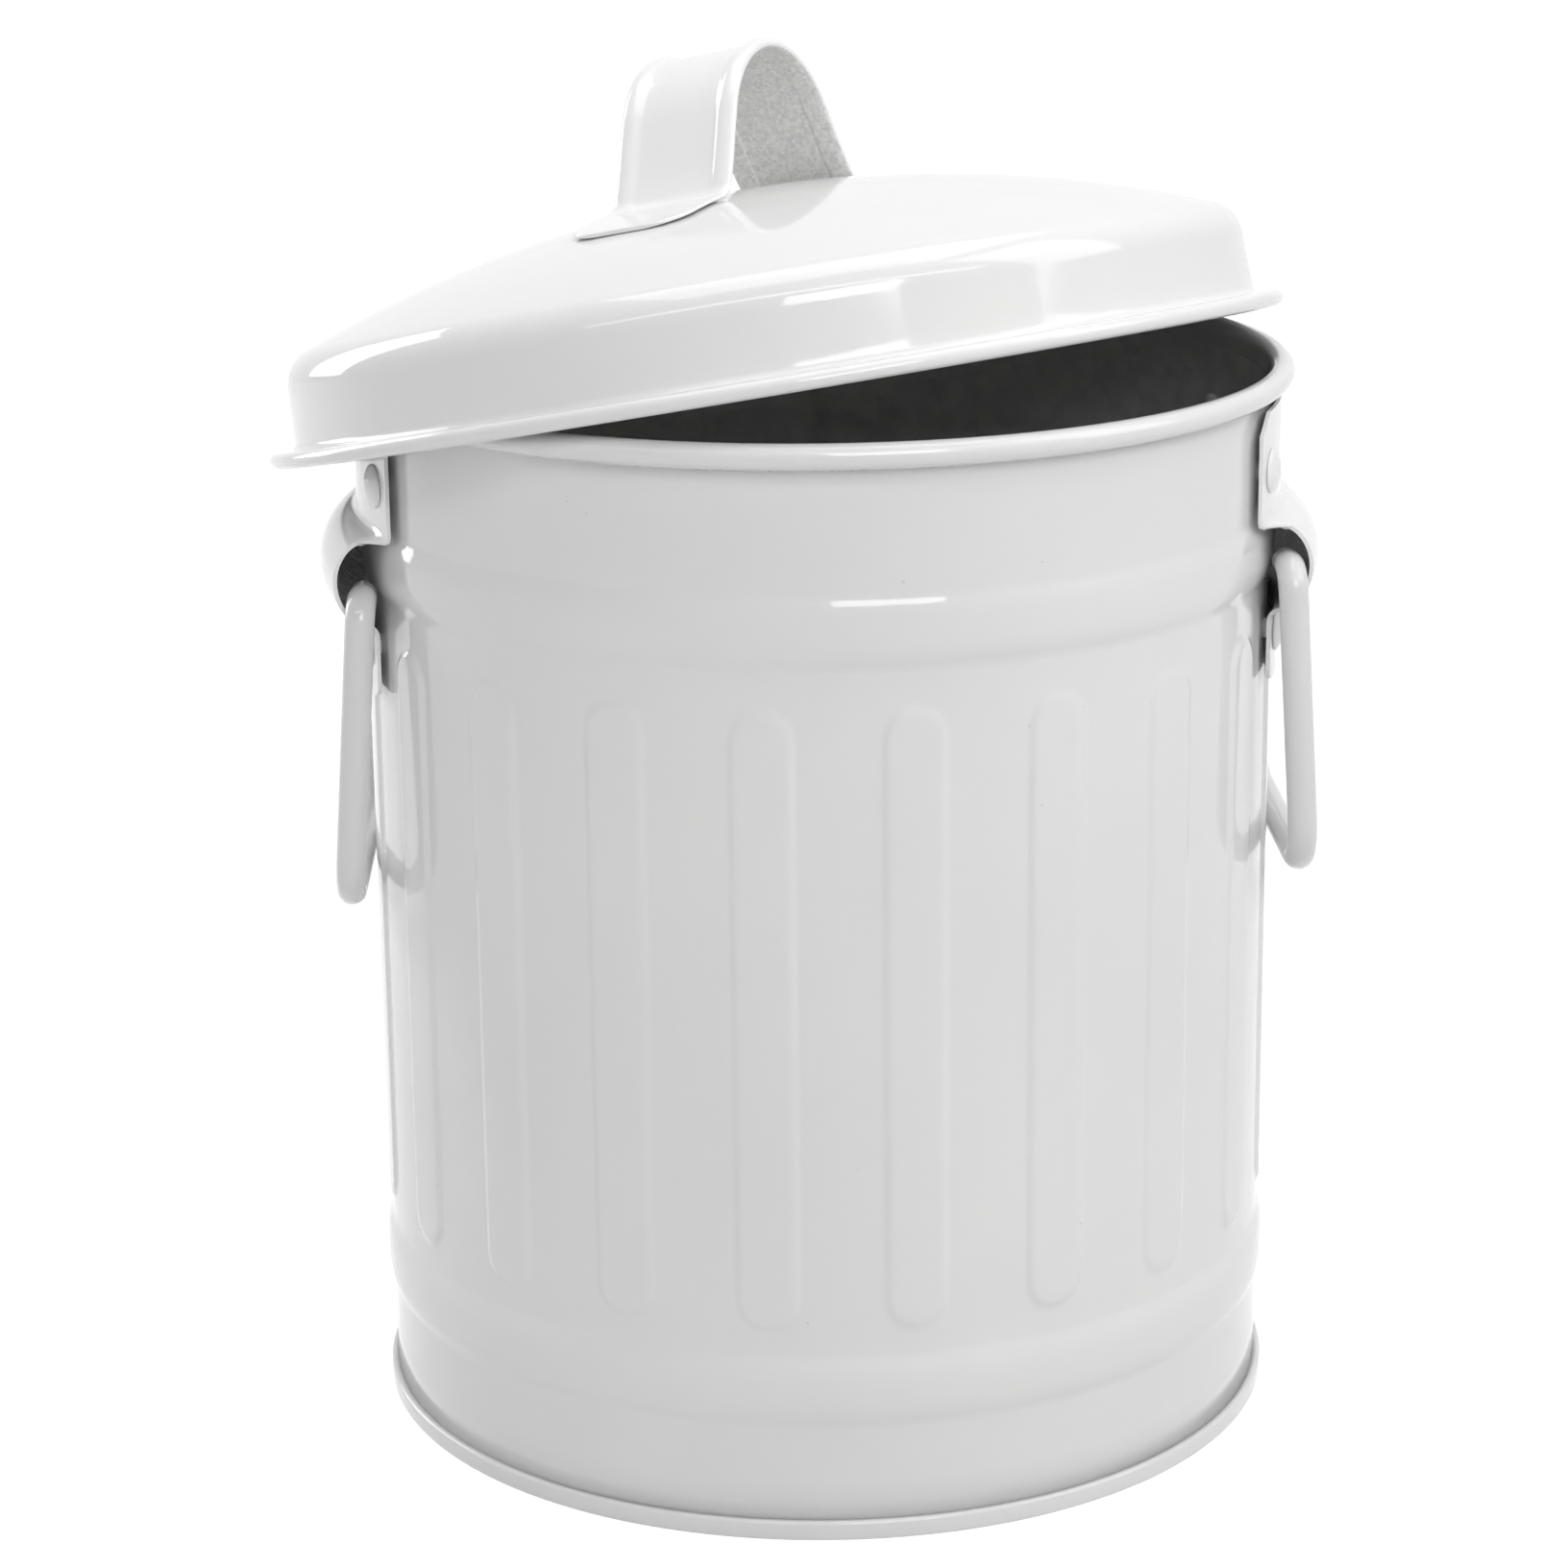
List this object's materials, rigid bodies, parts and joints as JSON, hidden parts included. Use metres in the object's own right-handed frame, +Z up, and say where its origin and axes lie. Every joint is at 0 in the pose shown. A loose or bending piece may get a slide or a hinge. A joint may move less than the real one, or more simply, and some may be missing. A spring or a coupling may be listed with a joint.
{
  "type": "lidded bin",
  "caption": "Round upright lidded steel bin with pressed ribs, rolled rim, drop bails on riveted ears, and a domed lid with a strap handle lying askew on the rim.",
  "frame": {"origin": "centre of the base ring where it meets the floor, on the can's axis", "axes": "+Z up along the can, X from ear to ear, -Y the front that the picture shows"},
  "size_m": [0.2085, 0.2033, 0.2744],
  "materials": {
    "paint": "gloss white paint outside, bare zinc-coated steel inside",
    "bail_paint": "gloss white paint on bent steel rod",
    "rivet": "gloss white paint over the rivet heads",
    "wire": "plain steel wire"
  },
  "bodies": {
    "can": {"can_wall": "paint", "rim_wire": "wire", "base_pan": "paint", "right_ear": "paint", "left_ear": "paint", "right_ear_rivet_upper_front": "rivet", "right_ear_rivet_upper_rear": "rivet", "right_ear_rivet_lower_front": "rivet", "right_ear_rivet_lower_rear": "rivet", "left_ear_rivet_upper_front": "rivet", "left_ear_rivet_upper_rear": "rivet", "left_ear_rivet_lower_front": "rivet", "left_ear_rivet_lower_rear": "rivet"},
    "lid": {"lid_shell": "paint", "lid_handle": "paint"},
    "right_bail": {"right_bail": "bail_paint"},
    "left_bail": {"left_bail": "bail_paint"}
  },
  "joints": [
    {"name": "lid_lift", "type": "slide", "parent": "can", "child": "lid", "axis": [0, 0, 1], "range_m": [0, 0.15]},
    {"name": "right_bail_swing", "type": "hinge", "parent": "can", "child": "right_bail", "pos_m": [0.0902, 0, 0.176], "axis": [0, -1, 0], "range_deg": [0, 120]},
    {"name": "left_bail_swing", "type": "hinge", "parent": "can", "child": "left_bail", "pos_m": [-0.0894, 0, 0.1726], "axis": [0, 1, 0], "range_deg": [0, 100]}
  ]
}
